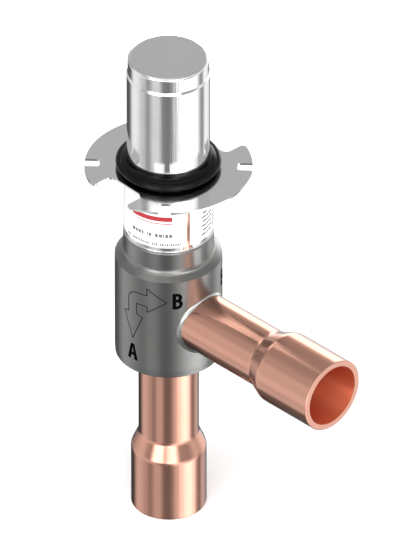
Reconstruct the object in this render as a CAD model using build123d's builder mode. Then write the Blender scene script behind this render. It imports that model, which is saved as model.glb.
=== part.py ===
"""Electronic expansion valve: a turned steel body with two brazed copper ports, a stepper rotor in a
deep-drawn can, and a lead screw that lifts a balanced piston off its seat.

The origin is the centre of port A's mouth, at the bottom. +Z runs up the valve's axis and port B
points along +X. The valve is modelled shut. Sizes are in millimetres, angles in degrees.
"""

import os
from math import radians, sqrt, tan

from build123d import *

# Copper ports: both have the same expanded socket on a narrower neck
socket_bore = 22.3
socket_wall = 2.1
socket_depth = 24.0
neck_od = 21.2
neck_wall = 2.1
cone_length = 6.3
cone_blend = 4.5
rim_break = 0.25
braze_leg = 1.7
port_a_reach = 65.0
port_b_reach = 80.2
port_b_height = 19.9
port_b_insert = 5.3

# Turned body
body_od = 37.6
body_length = 40.65
body_edge = 0.3
body_taper_height = 2.7
body_taper_in = 0.15
shoulder_rise = 2.2
shoulder_blend = 2.65
collar_od = 31.7
collar_length = 8.2
collar_edge = 0.75
chamber_od = 25.0
chamber_height = 20.6
liner_bore = 26.9

# Seat in the floor of the chamber
seat_od = 20.6
orifice_bore = 15.0
seat_thickness = 3.0
seat_proud = 0.6
gasket_thickness = 0.5
seat_web = 1.5
seat_web_bore = 16.0

# Bonnet, wrap label and index plate
bonnet_od = 31.1
bonnet_height = 25.85
bonnet_bead_od = 31.7
bonnet_bead_radius = 0.45
label_thickness = 0.1
label_gap_below = 1.3
label_gap_above = 0.4
spigot_height = 5.4
spigot_edge = 0.4
plate_od = 58.4
plate_thickness = 0.84
plate_turn = -2.75
plate_slot_width = 4.3
plate_slot_floor = 23.9
plate_slot_corner = 1.0
plate_cut_width = 16.6
plate_cut_floor = 19.35
plate_cut_corner = 2.4
plate_rim_corner = 1.5

# Rotor can and the rubber ring that seals the coil
can_od = 29.0
can_wall = 0.5
can_height = 45.6
can_step_height = 38.7
can_step_rise = 1.0
can_step_in = 0.4
can_crown_radius = 1.3
can_foot_swell = 0.25
can_foot_rise = 0.3
ring_lip_height = 5.7
ring_lip_wall = 0.2
ring_groove_height = 3.2
ring_groove_width = 0.3
ring_ridge_height = 3.65
ring_bead_height = 3.25
ring_bead_radius = 1.1
ring_width = 3.6
ring_foot_in = 1.0
ring_step_in = 0.5
ring_step_height = 1.9

# Guide sleeve, key and piston
sleeve_flange_height = 6.0
sleeve_barrel_od = 22.8
sleeve_barrel_height = 15.0
piston_od = 17.8
piston_length = 40.0
piston_stroke = 10.0
piston_well_bore = 7.2
piston_balance_bore = 2.4
piston_edge = 0.5
face_wall = 1.35
face_thickness = 1.5
skirt_length = 5.5
skirt_wall = 1.4
notch_count = 3
notch_half_width = 3.4
notch_height = 4.6
notch_overrun = 1.0
seal_height = 2.0
seal_depth = 2.0
seal_from_flange_end = 1.5
key_diameter = 3.0
key_below_barrel_top = 5.0
keyway_depth = 1.5
keyway_overrun = 0.5

# Drive nut and its cross pin
nut_od = 12.0
nut_length = 8.0
nut_set_back = 1.0
nut_pin_diameter = 2.0
nut_pin_inner = 4.0

# Lead screw spindle
screw_od = 6.0
screw_below_nut = 1.0
journal_od = 8.0
spindle_shoulder_od = 10.4
spindle_shoulder_height = 2.5
circlip_thickness = 0.9
circlip_wall = 2.4
circlip_groove_depth = 0.6
circlip_gap_angle = 50.0
top_pin_diameter = 4.0
top_pin_length = 3.6

# Ball bearing, 8 by 22 by 7 mm, and its lock ring
bearing_od = 22.0
bearing_height = 7.0
bearing_pitch_od = 15.0
ball_diameter = 3.968
ball_count = 7
land_half_gap = 1.5
cage_wall = 1.8
cage_height = 5.2
web_thickness = 2.5
web_bore = 13.0
lock_ring_thickness = 3.0
lock_ring_bore = 14.0
lock_ring_slot = 2.0

# Rotor on the spindle
hub_od = 17.9
hub_collar_od = 14.0
hub_collar_height = 3.0
hub_flange_height = 1.5
hub_pin_diameter = 1.6
magnet_od = 26.4
magnet_wall = 4.2
magnet_edge = 0.5
clip_thickness = 1.2
hub_tail = 0.6

# Top guide under the can's crown, with its bronze bush
guide_disc_thickness = 1.5
guide_boss_length = 2.0
guide_boss_od = 10.0
bush_wall = 1.45
bush_drop = 0.3

# Clearances, each on the radius or along the axis
fit_gap = 0.05
brazed_gap = 0.05
skirt_gap = 0.2
stroke_gap = 1.5
rotor_gap = 1.0
guide_gap = 1.6
race_gap = 0.07
cage_gap = 0.1
key_tip_gap = 0.15

# Heights up the valve's axis, worked out from the sizes above
z_body = port_a_reach
z_port_b = z_body + port_b_height
z_shoulder = z_body + body_length
z_collar = z_shoulder + shoulder_rise
z_bonnet = z_collar + collar_length
z_plate = z_bonnet + bonnet_height
z_plate_top = z_plate + plate_thickness
z_spigot = z_plate_top + spigot_height
z_can_top = z_plate_top + can_height
z_crown = z_can_top - can_wall

neck_bore = neck_od - 2 * neck_wall
socket_od = socket_bore + 2 * socket_wall
z_chamber = z_port_b - neck_bore / 2
z_seat = z_chamber + seat_proud
z_seat_pocket = z_seat - seat_thickness - gasket_thickness
z_tube_stop = z_seat_pocket - seat_web
z_liner = z_chamber + chamber_height
z_sleeve_step = z_liner + sleeve_flange_height
z_sleeve_top = z_sleeve_step + sleeve_barrel_height

z_piston_top = z_seat + piston_length
z_piston_shoulder = z_seat + face_thickness
z_key = z_sleeve_top - key_below_barrel_top
z_nut_top = z_piston_top - nut_set_back
z_nut = z_nut_top - nut_length
z_nut_pin = (z_nut + z_nut_top) / 2
z_screw_end = z_nut - screw_below_nut
z_well = z_screw_end - piston_stroke - stroke_gap

z_web = z_piston_top + piston_stroke + stroke_gap
z_bearing = z_web + web_thickness
z_race_middle = z_bearing + bearing_height / 2
z_bearing_top = z_bearing + bearing_height
z_circlip = z_bearing - circlip_thickness
z_hub = max(z_spigot, z_bearing_top + lock_ring_thickness) + rotor_gap
z_hub_flange = z_hub + hub_collar_height
z_magnet = z_hub_flange + hub_flange_height
z_guide_disc = z_crown - guide_disc_thickness
z_guide_boss = z_guide_disc - guide_boss_length
z_hub_top = z_guide_boss - bush_drop - guide_gap
z_magnet_top = z_hub_top - hub_tail - clip_thickness

# Radii that follow from them
piston_r = piston_od / 2
sleeve_bore_r = piston_r + fit_gap
barrel_r = sleeve_barrel_od / 2
orifice_r = orifice_bore / 2
skirt_r = orifice_r - skirt_gap
nut_pocket_r = nut_od / 2 + fit_gap
keyway_width = key_diameter + 2 * fit_gap
keyway_floor_r = piston_r - keyway_depth
screw_r = screw_od / 2
journal_r = journal_od / 2
bearing_r = bearing_od / 2
race_r = ball_diameter / 2 + race_gap
magnet_bore_r = magnet_od / 2 - magnet_wall
can_r = can_od / 2
can_foot_r = can_r + can_foot_swell
can_bore_r = can_r - can_wall


def port_section(length):
    """Half section of a port tube: x runs from the mouth inwards, y is the radius."""
    cone_start = socket_depth
    cone_end = socket_depth + cone_length
    outer = [
        (length, neck_od / 2),
        (cone_end, neck_od / 2),
        (cone_start, socket_od / 2),
        (0, socket_od / 2),
    ]
    inner = [
        (0, socket_bore / 2),
        (cone_start, socket_bore / 2),
        (cone_end, neck_bore / 2),
        (length, neck_bore / 2),
    ]
    with BuildSketch() as section:
        with BuildLine():
            Polyline(*outer, *inner, close=True)
        make_face()
        for x, y in outer[1:3]:
            bend = section.vertices().sort_by_distance((x, y))[0]
            fillet(bend, cone_blend)
        rim = section.vertices().sort_by_distance(outer[3])[0]
        fillet(rim, rim_break)
    return section.sketch


def ring_section(inner_r, outer_r, bottom, top):
    """Half section of a plain ring about the valve's axis: x is the radius, y the height."""
    with BuildSketch() as section:
        with Locations(((inner_r + outer_r) / 2, (bottom + top) / 2)):
            Rectangle(outer_r - inner_r, top - bottom)
    return section.sketch


# Port A, straight down from the body
port_a_plane = Plane(origin=(0, 0, 0), x_dir=(0, 0, 1), z_dir=(0, 1, 0))
with BuildPart() as port_a_tube:
    with BuildSketch(port_a_plane):
        add(port_section(z_tube_stop))
    revolve(axis=Axis.Z)
port_a_tube.part.label = "port_a_tube"

# Port B, out along +X
port_b_axis = Axis((0, 0, z_port_b), (1, 0, 0))
port_b_plane = Plane(origin=(port_b_reach, 0, z_port_b), x_dir=(-1, 0, 0), z_dir=(0, 1, 0))
port_b_stop = body_od / 2 - port_b_insert
with BuildPart() as port_b_tube:
    with BuildSketch(port_b_plane):
        add(port_section(port_b_reach - port_b_stop))
    revolve(axis=port_b_axis)
port_b_tube.part.label = "port_b_tube"

# Body: one turned profile, a little tapered at its foot, bored through, then drilled for port B
body_outline = [
    (0, z_body),
    (body_od / 2 - body_taper_in, z_body),
    (body_od / 2, z_body + body_taper_height),
    (body_od / 2, z_shoulder),
    (collar_od / 2, z_collar),
    (collar_od / 2, z_bonnet),
    (0, z_bonnet),
]
tube_hole_r = neck_od / 2 + brazed_gap
with BuildPart() as valve_body:
    with BuildSketch(Plane.XZ) as body_section:
        with BuildLine():
            Polyline(*body_outline, close=True)
        make_face()
        bottom_edge = body_section.vertices().group_by(Axis.Y)[0].sort_by(Axis.X)[-1]
        chamfer(bottom_edge, body_edge)
        collar_root = body_section.vertices().filter_by(
            lambda corner: abs(corner.Y - z_collar) < 0.01 and corner.X > 1
        )
        fillet(collar_root, shoulder_blend)
        collar_top = body_section.vertices().group_by(Axis.Y)[-1].sort_by(Axis.X)[-1]
        fillet(collar_top, collar_edge)
        add(ring_section(0, tube_hole_r, z_body, z_tube_stop), mode=Mode.SUBTRACT)
        add(ring_section(0, seat_web_bore / 2, z_body, z_seat), mode=Mode.SUBTRACT)
        add(ring_section(0, seat_od / 2 + fit_gap, z_seat_pocket, z_seat), mode=Mode.SUBTRACT)
        add(ring_section(0, chamber_od / 2, z_chamber, z_liner), mode=Mode.SUBTRACT)
        add(ring_section(0, liner_bore / 2, z_liner, z_bonnet), mode=Mode.SUBTRACT)
    revolve(axis=Axis.Z)
    with BuildSketch(Plane.YZ.offset(port_b_stop)):
        with Locations((0, z_port_b)):
            Circle(tube_hole_r)
    extrude(amount=body_od, mode=Mode.SUBTRACT)
    with BuildSketch(Plane.YZ):
        with Locations((0, z_port_b)):
            Circle(neck_bore / 2)
    extrude(amount=body_od, mode=Mode.SUBTRACT)
valve_body.part.label = "valve_body"

# Braze fillet under the body, round port A
with BuildPart() as port_a_braze:
    with BuildSketch(Plane.XZ):
        with BuildLine():
            Line((neck_od / 2, z_body), (neck_od / 2 + braze_leg, z_body))
            Line((neck_od / 2, z_body), (neck_od / 2, z_body - braze_leg))
            RadiusArc(
                (neck_od / 2 + braze_leg, z_body), (neck_od / 2, z_body - braze_leg), -braze_leg
            )
        make_face()
    revolve(axis=Axis.Z)
port_a_braze.part.label = "port_a_braze"

# Braze fillet on the body's side, round port B: the corner between two cylinders, filled
with BuildPart() as port_b_braze:
    with BuildSketch(Plane.XY.offset(z_body + body_edge)):
        Circle(body_od / 2)
    extrude(amount=body_length - body_edge)
    with BuildSketch(Plane.YZ):
        with Locations((0, z_port_b)):
            Circle(neck_od / 2)
    extrude(amount=body_od)
    corner = port_b_braze.edges().filter_by(
        lambda edge: edge.geom_type not in (GeomType.LINE, GeomType.CIRCLE)
    )
    fillet(corner, braze_leg)
    with BuildSketch(Plane.XY):
        Circle(body_od / 2)
    extrude(amount=z_bonnet, mode=Mode.SUBTRACT)
    with BuildSketch(Plane.YZ):
        with Locations((0, z_port_b)):
            Circle(neck_od / 2)
    extrude(amount=2 * body_od, mode=Mode.SUBTRACT)
port_b_braze.part.label = "port_b_braze"

# Seat ring on its soft copper gasket
with BuildPart() as seat_gasket:
    with BuildSketch(Plane.XZ):
        add(ring_section(orifice_r, seat_od / 2, z_seat_pocket, z_seat - seat_thickness))
    revolve(axis=Axis.Z)
seat_gasket.part.label = "seat_gasket"

with BuildPart() as seat_ring:
    with BuildSketch(Plane.XZ) as seat_section:
        add(ring_section(orifice_r, seat_od / 2, z_seat - seat_thickness, z_seat))
        chamfer(seat_section.vertices().sort_by(Axis.Y)[-2:].sort_by(Axis.X)[-1], fit_gap * 4)
    revolve(axis=Axis.Z)
seat_ring.part.label = "seat_ring"

# Guide sleeve: a flange clamped in the body's bore, a barrel up into the bonnet, a seal groove
z_seal = z_liner + seal_from_flange_end
sleeve_flange_r = liner_bore / 2 - fit_gap
seal_outer_r = sleeve_bore_r + seal_depth
with BuildPart() as guide_sleeve:
    with BuildSketch(Plane.XZ):
        add(ring_section(sleeve_bore_r, sleeve_flange_r, z_liner, z_sleeve_step))
        add(ring_section(sleeve_bore_r, barrel_r, z_liner, z_sleeve_top))
        add(
            ring_section(0, seal_outer_r, z_seal, z_seal + seal_height),
            mode=Mode.SUBTRACT,
        )
    revolve(axis=Axis.Z)
    with BuildSketch(Plane.YZ.offset(-barrel_r - fit_gap)):
        with Locations((0, z_key)):
            Circle(key_diameter / 2)
    extrude(amount=barrel_r - keyway_floor_r, mode=Mode.SUBTRACT)
guide_sleeve.part.label = "guide_sleeve"

with BuildPart() as piston_seal:
    with BuildSketch(Plane.XZ) as seal_section:
        add(
            ring_section(
                sleeve_bore_r, seal_outer_r - fit_gap, z_seal + fit_gap, z_seal + seal_height - fit_gap
            )
        )
        fillet(seal_section.vertices(), seal_height / 5)
    revolve(axis=Axis.Z)
piston_seal.part.label = "piston_seal"

# Key pin, through the sleeve's wall into the piston's keyway, flush at its outer end
key_head_x = sqrt(barrel_r**2 - (key_diameter / 2) ** 2)
with BuildPart() as guide_key:
    with BuildSketch(Plane.YZ.offset(-key_head_x)):
        with Locations((0, z_key)):
            Circle(key_diameter / 2)
    extrude(amount=key_head_x - keyway_floor_r - key_tip_gap)
guide_key.part.label = "guide_key"

# Piston: solid foot with a notched metering skirt, a well for the screw and a pocket for the nut
keyway_bottom = z_key - key_diameter / 2 - piston_stroke - keyway_overrun
keyway_top = z_key + key_diameter / 2 + keyway_overrun
with BuildPart() as piston:
    with BuildSketch(Plane.XZ) as piston_section:
        add(ring_section(0, piston_r, z_piston_shoulder, z_piston_top))
        chamfer(piston_section.vertices().filter_by(lambda corner: corner.X > 1), piston_edge)
        add(ring_section(0, skirt_r, z_seat - skirt_length, z_piston_shoulder))
        add(
            ring_section(0, skirt_r - skirt_wall, z_seat - skirt_length, z_seat - fit_gap),
            mode=Mode.SUBTRACT,
        )
        add(ring_section(0, piston_balance_bore / 2, z_seat - fit_gap, z_well), mode=Mode.SUBTRACT)
        add(ring_section(0, piston_well_bore / 2, z_well, z_nut), mode=Mode.SUBTRACT)
        add(ring_section(0, nut_pocket_r, z_nut, z_piston_top), mode=Mode.SUBTRACT)
    revolve(axis=Axis.Z)
    with PolarLocations(0, notch_count):
        with BuildSketch(Plane.YZ):
            with BuildLine():
                Polyline(
                    (-notch_half_width, z_seat - skirt_length - notch_overrun),
                    (notch_half_width, z_seat - skirt_length - notch_overrun),
                    (notch_half_width, z_seat - skirt_length),
                    (0, z_seat - skirt_length + notch_height),
                    (-notch_half_width, z_seat - skirt_length),
                    close=True,
                )
            make_face()
        extrude(amount=piston_od, mode=Mode.SUBTRACT)
    with BuildSketch(Plane.YZ.offset(-keyway_floor_r)):
        with Locations((0, (keyway_bottom + keyway_top) / 2)):
            SlotOverall(keyway_top - keyway_bottom, keyway_width, rotation=90)
    extrude(amount=-piston_r, mode=Mode.SUBTRACT)
    with BuildSketch(Plane.XZ):
        with Locations((0, z_nut_pin)):
            Circle(nut_pin_diameter / 2)
    extrude(amount=piston_od, mode=Mode.SUBTRACT)
piston.part.label = "piston"

with BuildPart() as piston_face:
    with BuildSketch(Plane.XZ):
        add(ring_section(skirt_r + fit_gap, skirt_r + fit_gap + face_wall, z_seat, z_piston_shoulder))
    revolve(axis=Axis.Z)
piston_face.part.label = "piston_face"

# Drive nut in the piston's pocket, held by a pin across the wall
with BuildPart() as drive_nut:
    with BuildSketch(Plane.XZ):
        add(ring_section(screw_r + fit_gap, nut_od / 2, z_nut, z_nut_top))
    revolve(axis=Axis.Z)
    with BuildSketch(Plane.XZ.offset(nut_pin_inner)):
        with Locations((0, z_nut_pin)):
            Circle(nut_pin_diameter / 2)
    extrude(amount=nut_od, mode=Mode.SUBTRACT)
drive_nut.part.label = "drive_nut"

with BuildPart() as nut_pin:
    with BuildSketch(Plane.XZ.offset(nut_pin_inner)):
        with Locations((0, z_nut_pin)):
            Circle(nut_pin_diameter / 2)
    extrude(amount=piston_r - 6 * fit_gap - nut_pin_inner)
nut_pin.part.label = "nut_pin"

# Bonnet: foot bead, barrel for the label, spigot for the plate and can, bearing seat inside
spigot_r = can_foot_r - can_wall - fit_gap
liner_r = liner_bore / 2 - fit_gap
bonnet_outline = [
    (0, z_sleeve_step),
    (liner_r, z_sleeve_step),
    (liner_r, z_bonnet),
    (bonnet_od / 2, z_bonnet),
    (bonnet_od / 2, z_plate),
    (spigot_r, z_plate),
    (spigot_r, z_spigot),
    (0, z_spigot),
]
with BuildPart() as bonnet:
    with BuildSketch(Plane.XZ) as bonnet_section:
        with BuildLine():
            Polyline(*bonnet_outline, close=True)
        make_face()
        spigot_corner = bonnet_section.vertices().group_by(Axis.Y)[-1].sort_by(Axis.X)[-1]
        chamfer(spigot_corner, spigot_edge)
        with Locations((bonnet_bead_od / 2 - bonnet_bead_radius, z_bonnet + bonnet_bead_radius)):
            Circle(bonnet_bead_radius)
        add(ring_section(0, barrel_r + fit_gap, z_sleeve_step, z_web), mode=Mode.SUBTRACT)
        add(ring_section(0, web_bore / 2, z_web, z_bearing), mode=Mode.SUBTRACT)
        add(ring_section(0, bearing_r + fit_gap, z_bearing, z_spigot), mode=Mode.SUBTRACT)
    revolve(axis=Axis.Z)
bonnet.part.label = "bonnet"

with BuildPart() as wrap_label:
    with BuildSketch(Plane.XZ):
        add(
            ring_section(
                bonnet_od / 2,
                bonnet_od / 2 + label_thickness,
                z_bonnet + 2 * bonnet_bead_radius + label_gap_below,
                z_plate - label_gap_above,
            )
        )
    revolve(axis=Axis.Z)
wrap_label.part.label = "wrap_label"

# Index plate: thin disc with four slots and two wide cut-outs that lock the coil's angle
cut_reach = plate_od / 2
with BuildPart() as index_plate:
    with BuildSketch(Plane.XY.offset(z_plate)) as plate_outline:
        Circle(plate_od / 2)
        with PolarLocations(0, 2, start_angle=90 + plate_turn):
            with Locations((plate_cut_floor + cut_reach / 2, 0)):
                RectangleRounded(cut_reach, plate_cut_width, plate_cut_corner, mode=Mode.SUBTRACT)
        with PolarLocations(0, 4, start_angle=45 + plate_turn):
            with Locations((plate_slot_floor + cut_reach / 2, 0)):
                RectangleRounded(cut_reach, plate_slot_width, plate_slot_corner, mode=Mode.SUBTRACT)
        cut_half = plate_cut_width / 2
        cut_corner_x = sqrt((plate_od / 2) ** 2 - cut_half**2)
        for turn in (90 + plate_turn, 270 + plate_turn):
            for side in (-cut_half, cut_half):
                at = Vector(cut_corner_x, side).rotate(Axis.Z, turn)
                fillet(plate_outline.vertices().sort_by_distance(at)[0], plate_rim_corner)
        Circle(spigot_r + fit_gap, mode=Mode.SUBTRACT)
    extrude(amount=plate_thickness)
index_plate.part.label = "index_plate"

# Rubber ring: a thin lip against the can, a groove behind it, and a sloped round bead
lip_r = can_foot_r + fit_gap
groove_r = lip_r + ring_lip_wall
ridge_r = groove_r + ring_groove_width
ring_r = lip_r + ring_width
foot_r = ring_r - ring_foot_in
bead_r = ring_r - ring_bead_radius
z_bead = z_plate_top + ring_bead_height
with BuildPart() as coil_seal_ring:
    with BuildSketch(Plane.XZ):
        with BuildLine():
            Polyline(
                (foot_r, z_plate_top),
                (lip_r, z_plate_top),
                (lip_r, z_plate_top + ring_lip_height),
                (groove_r, z_plate_top + ring_groove_height),
                (ridge_r, z_plate_top + ring_ridge_height),
                (bead_r, z_bead + ring_bead_radius),
            )
            RadiusArc(
                (bead_r, z_bead + ring_bead_radius), (ring_r, z_bead), ring_bead_radius
            )
            Polyline(
                (ring_r, z_bead),
                (ring_r - ring_step_in, z_plate_top + ring_step_height),
                (foot_r, z_plate_top),
            )
        make_face()
    revolve(axis=Axis.Z)
coil_seal_ring.part.label = "coil_seal_ring"


def can_section(inset):
    """Half section of the can's outside, or of its bore with inset set to the wall.

    Its foot is swelled to go over the spigot, up to the top of the rubber ring's lip.
    """
    top = z_can_top - inset
    upper_r = can_r - can_step_in - inset
    step = z_plate_top + can_step_height - inset / 2
    crown = can_crown_radius - inset
    foot = z_plate_top + ring_lip_height
    with BuildSketch() as section:
        with BuildLine():
            Polyline(
                (0, z_plate_top),
                (can_foot_r - inset, z_plate_top),
                (can_foot_r - inset, foot),
                (can_r - inset, foot + can_foot_rise),
                (can_r - inset, step),
                (upper_r, step + can_step_rise),
                (upper_r, top - crown),
            )
            RadiusArc((upper_r, top - crown), (upper_r - crown, top), -crown)
            Polyline((upper_r - crown, top), (0, top), (0, z_plate_top))
        make_face()
    return section.sketch


# Rotor can, drawn from one blank
with BuildPart() as rotor_can:
    with BuildSketch(Plane.XZ):
        add(can_section(0))
        add(can_section(can_wall), mode=Mode.SUBTRACT)
    revolve(axis=Axis.Z)
rotor_can.part.label = "rotor_can"

# Top guide pressed under the crown, with its bush
guide_disc_r = can_bore_r - can_step_in - can_crown_radius + can_wall
bush_r = top_pin_diameter / 2 + fit_gap + bush_wall
with BuildPart() as top_guide:
    with BuildSketch(Plane.XZ):
        add(ring_section(bush_r + fit_gap, guide_disc_r, z_guide_disc, z_crown))
        add(ring_section(bush_r + fit_gap, guide_boss_od / 2, z_guide_boss, z_crown))
    revolve(axis=Axis.Z)
top_guide.part.label = "top_guide"

with BuildPart() as top_bush:
    with BuildSketch(Plane.XZ):
        add(
            ring_section(
                top_pin_diameter / 2 + fit_gap, bush_r, z_guide_boss - bush_drop, z_crown - fit_gap
            )
        )
    revolve(axis=Axis.Z)
top_bush.part.label = "top_bush"

# Ball bearing: two grooved races, the balls, and the cage that spaces them
pitch_r = bearing_pitch_od / 2
with BuildPart() as bearing_outer_race:
    with BuildSketch(Plane.XZ):
        add(ring_section(pitch_r + land_half_gap, bearing_r, z_bearing, z_bearing_top))
        with Locations((pitch_r, z_race_middle)):
            Circle(race_r, mode=Mode.SUBTRACT)
    revolve(axis=Axis.Z)
bearing_outer_race.part.label = "bearing_outer_race"

with BuildPart() as bearing_inner_race:
    with BuildSketch(Plane.XZ):
        add(ring_section(journal_r + fit_gap, pitch_r - land_half_gap, z_bearing, z_bearing_top))
        with Locations((pitch_r, z_race_middle)):
            Circle(race_r, mode=Mode.SUBTRACT)
    revolve(axis=Axis.Z)
bearing_inner_race.part.label = "bearing_inner_race"

with BuildPart() as bearing_balls:
    with Locations((0, 0, z_race_middle)):
        with PolarLocations(pitch_r, ball_count):
            Sphere(ball_diameter / 2)
bearing_balls.part.label = "bearing_balls"

with BuildPart() as bearing_cage:
    with BuildSketch(Plane.XZ):
        add(
            ring_section(
                pitch_r - cage_wall / 2,
                pitch_r + cage_wall / 2,
                z_race_middle - cage_height / 2,
                z_race_middle + cage_height / 2,
            )
        )
    revolve(axis=Axis.Z)
    with Locations((0, 0, z_race_middle)):
        with PolarLocations(pitch_r, ball_count):
            Cylinder(ball_diameter / 2 + cage_gap, 4 * cage_wall, rotation=(0, 90, 0), mode=Mode.SUBTRACT)
bearing_cage.part.label = "bearing_cage"

# Ring that locks the outer race down, with two key slots across its top
with BuildPart() as bearing_lock_ring:
    with BuildSketch(Plane.XZ):
        add(
            ring_section(
                lock_ring_bore / 2, bearing_r, z_bearing_top, z_bearing_top + lock_ring_thickness
            )
        )
    revolve(axis=Axis.Z)
    with BuildSketch(Plane.XY.offset(z_bearing_top + lock_ring_thickness)):
        Rectangle(bearing_od * 2, lock_ring_slot)
    extrude(amount=-lock_ring_thickness / 2, mode=Mode.SUBTRACT)
bearing_lock_ring.part.label = "bearing_lock_ring"

# Spindle: lead screw, journal with a circlip groove, shoulder, rotor seat and top pin
top_pin_r = top_pin_diameter / 2
groove_floor_r = journal_r - circlip_groove_depth
z_shoulder_top = z_bearing_top + spindle_shoulder_height
with BuildPart() as spindle:
    with BuildSketch(Plane.XZ):
        add(ring_section(0, screw_r, z_screw_end, z_web))
        add(ring_section(0, journal_r, z_web, z_hub_top))
        add(ring_section(0, spindle_shoulder_od / 2, z_bearing_top, z_shoulder_top))
        add(ring_section(0, top_pin_r, z_hub_top, z_hub_top + top_pin_length))
        add(
            ring_section(groove_floor_r, journal_od, z_circlip, z_bearing),
            mode=Mode.SUBTRACT,
        )
    revolve(axis=Axis.Z)
    z_hub_pin = z_hub + hub_collar_height / 2
    with BuildSketch(Plane.XZ.offset(-journal_od)):
        with Locations((0, z_hub_pin)):
            Circle(hub_pin_diameter / 2)
    extrude(amount=2 * journal_od, mode=Mode.SUBTRACT)
spindle.part.label = "spindle"

with BuildPart() as spindle_circlip:
    with BuildSketch(Plane.XY.offset(z_circlip)):
        Circle(groove_floor_r + fit_gap + circlip_wall)
        Circle(groove_floor_r + fit_gap, mode=Mode.SUBTRACT)
        gap_half = journal_od * tan(radians(circlip_gap_angle / 2))
        with BuildLine():
            Polyline((0, 0), (journal_od, -gap_half), (journal_od, gap_half), close=True)
        make_face(mode=Mode.SUBTRACT)
    extrude(amount=circlip_thickness)
spindle_circlip.part.label = "spindle_circlip"

# Rotor hub, its cross pin, the magnet and the clip that holds it
flange_r = magnet_od / 2 - magnet_edge
with BuildPart() as rotor_hub:
    with BuildSketch(Plane.XZ):
        add(ring_section(journal_r + fit_gap, hub_collar_od / 2, z_hub, z_hub_flange))
        add(ring_section(journal_r + fit_gap, flange_r, z_hub_flange, z_magnet))
        add(ring_section(journal_r + fit_gap, hub_od / 2, z_magnet, z_hub_top))
    revolve(axis=Axis.Z)
    with BuildSketch(Plane.XZ.offset(-hub_collar_od)):
        with Locations((0, z_hub_pin)):
            Circle(hub_pin_diameter / 2)
    extrude(amount=2 * hub_collar_od, mode=Mode.SUBTRACT)
rotor_hub.part.label = "rotor_hub"

with BuildPart() as rotor_pin:
    with BuildSketch(Plane.XZ.offset(-hub_collar_od / 2 + fit_gap)):
        with Locations((0, z_hub_pin)):
            Circle(hub_pin_diameter / 2)
    extrude(amount=hub_collar_od - 2 * fit_gap)
rotor_pin.part.label = "rotor_pin"

with BuildPart() as rotor_magnet:
    with BuildSketch(Plane.XZ) as magnet_section:
        add(ring_section(magnet_bore_r, magnet_od / 2, z_magnet, z_magnet_top))
        chamfer(magnet_section.vertices().group_by(Axis.X)[-1], magnet_edge)
    revolve(axis=Axis.Z)
rotor_magnet.part.label = "rotor_magnet"

with BuildPart() as magnet_clip:
    with BuildSketch(Plane.XZ):
        add(ring_section(hub_od / 2, flange_r, z_magnet_top, z_magnet_top + clip_thickness))
    revolve(axis=Axis.Z)
magnet_clip.part.label = "magnet_clip"

# Every piece to its own file
os.makedirs("parts", exist_ok=True)
export_step(valve_body.part, "parts/valve_body.step")
export_step(port_a_tube.part, "parts/port_a_tube.step")
export_step(port_b_tube.part, "parts/port_b_tube.step")
export_step(port_a_braze.part, "parts/port_a_braze.step")
export_step(port_b_braze.part, "parts/port_b_braze.step")
export_step(seat_gasket.part, "parts/seat_gasket.step")
export_step(seat_ring.part, "parts/seat_ring.step")
export_step(guide_sleeve.part, "parts/guide_sleeve.step")
export_step(piston_seal.part, "parts/piston_seal.step")
export_step(guide_key.part, "parts/guide_key.step")
export_step(piston.part, "parts/piston.step")
export_step(piston_face.part, "parts/piston_face.step")
export_step(drive_nut.part, "parts/drive_nut.step")
export_step(nut_pin.part, "parts/nut_pin.step")
export_step(bonnet.part, "parts/bonnet.step")
export_step(wrap_label.part, "parts/wrap_label.step")
export_step(index_plate.part, "parts/index_plate.step")
export_step(coil_seal_ring.part, "parts/coil_seal_ring.step")
export_step(rotor_can.part, "parts/rotor_can.step")
export_step(top_guide.part, "parts/top_guide.step")
export_step(top_bush.part, "parts/top_bush.step")
export_step(bearing_outer_race.part, "parts/bearing_outer_race.step")
export_step(bearing_inner_race.part, "parts/bearing_inner_race.step")
export_step(bearing_balls.part, "parts/bearing_balls.step")
export_step(bearing_cage.part, "parts/bearing_cage.step")
export_step(bearing_lock_ring.part, "parts/bearing_lock_ring.step")
export_step(spindle.part, "parts/spindle.step")
export_step(spindle_circlip.part, "parts/spindle_circlip.step")
export_step(rotor_hub.part, "parts/rotor_hub.step")
export_step(rotor_pin.part, "parts/rotor_pin.step")
export_step(rotor_magnet.part, "parts/rotor_magnet.step")
export_step(magnet_clip.part, "parts/magnet_clip.step")
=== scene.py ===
"""The looks of the expansion valve: each piece's finish, the marks on it, and a plain studio.

Lengths are in metres, in the valve's own frame: the origin is the centre of port A's mouth, +Z runs
up the axis and port B points along +X. The camera stands over the corner between -Y and +X.
"""

from math import asin, cos, radians, sin, sqrt

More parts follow.
